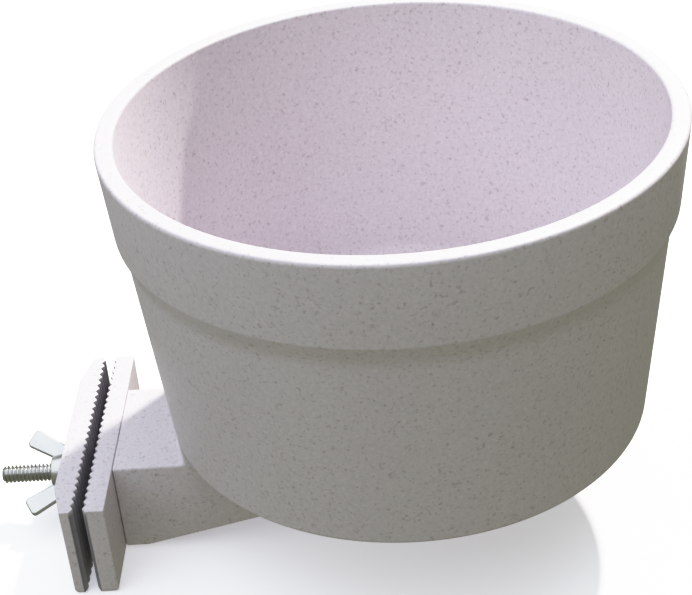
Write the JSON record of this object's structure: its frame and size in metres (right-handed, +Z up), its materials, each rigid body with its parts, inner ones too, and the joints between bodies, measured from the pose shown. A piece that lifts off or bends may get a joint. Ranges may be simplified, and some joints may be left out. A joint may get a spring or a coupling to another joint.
{
  "type": "cage seed cup",
  "caption": "Round plastic seed crock on a keel arm that slides onto a bracket, clamped to cage wire between serrated jaws by a bolt and wing nut.",
  "frame": {"origin": "on the bolt's axis, midway between the two serrated jaws", "axes": "+X along the bolt from the clamp to the crock, +Y along the jaws away from the pictured side, +Z up"},
  "size_m": [0.1814, 0.1398, 0.1158],
  "materials": {
    "speckled_plastic": "pale grey with fine dark specks, satin",
    "zinc_steel": "bright zinc plate"
  },
  "bodies": {
    "bracket": {"bracket_plate": "speckled_plastic", "clamp_bolt": "zinc_steel"},
    "cup": {"crock": "speckled_plastic"},
    "jaw": {"clamp_plate": "speckled_plastic", "flat_washer": "zinc_steel"},
    "nut": {"wing_nut": "zinc_steel"}
  },
  "joints": [
    {"name": "crock_lift", "type": "slide", "parent": "bracket", "child": "cup", "axis": [0, 0, 1], "range_m": [0, 0.03]},
    {"name": "jaw_travel", "type": "slide", "parent": "bracket", "child": "jaw", "axis": [1, 0, 0], "range_m": [-0.0106, 0.00212]},
    {"name": "nut_turn", "type": "hinge", "parent": "jaw", "child": "nut", "pos_m": [-0.0116, 0, 0], "axis": [1, 0, 0], "range_deg": [-3600, 720]}
  ],
  "couplings": [
    {"joint": "jaw_travel", "follows": "nut_turn", "m_per_rad": 0.00016844}
  ]
}
